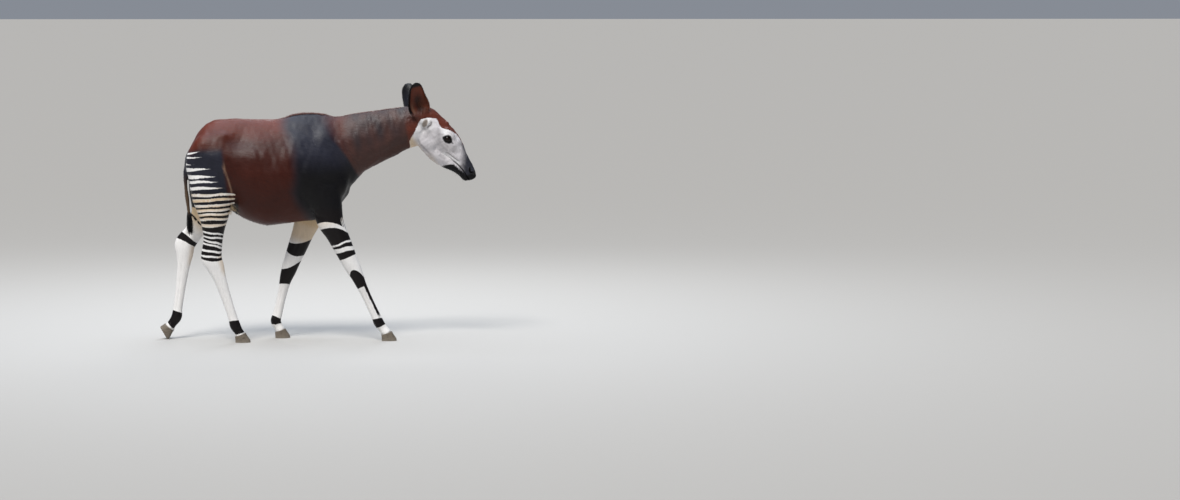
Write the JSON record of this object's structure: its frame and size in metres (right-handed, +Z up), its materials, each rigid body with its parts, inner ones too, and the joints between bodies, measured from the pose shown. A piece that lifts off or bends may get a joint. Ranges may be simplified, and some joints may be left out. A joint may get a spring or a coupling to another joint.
{
  "type": "okapi",
  "caption": "Still life-size model of a half-grown okapi in mid-stride, standing on its hooves, with striped legs and large cupped ears.",
  "frame": {"origin": "on the floor under the middle of the model's box", "axes": "+X from tail to nose, +Y to the animal's left, +Z up"},
  "size_m": [1.6628, 0.3774, 1.3519],
  "materials": {
    "coat": "short satin coat, chestnut with white and black leg bands",
    "horn": "grey-brown hoof horn with fine growth rings",
    "eye": "wet dark brown eye"
  },
  "bodies": {
    "root": {"torso": "coat", "neck": "coat", "head": "coat", "ear_left": "coat", "ear_right": "coat", "eye_left": "eye", "eye_right": "eye", "tail": "coat", "tail_tuft": "coat", "fore_left_upper": "coat", "fore_left_lower": "coat", "fore_left_hoof_inner": "horn", "fore_left_hoof_outer": "horn", "fore_right_upper": "coat", "fore_right_lower": "coat", "fore_right_hoof_inner": "horn", "fore_right_hoof_outer": "horn", "hind_left_upper": "coat", "hind_left_lower": "coat", "hind_left_hoof_inner": "horn", "hind_left_hoof_outer": "horn", "hind_right_upper": "coat", "hind_right_lower": "coat", "hind_right_hoof_inner": "horn", "hind_right_hoof_outer": "horn"}
  },
  "joints": []
}
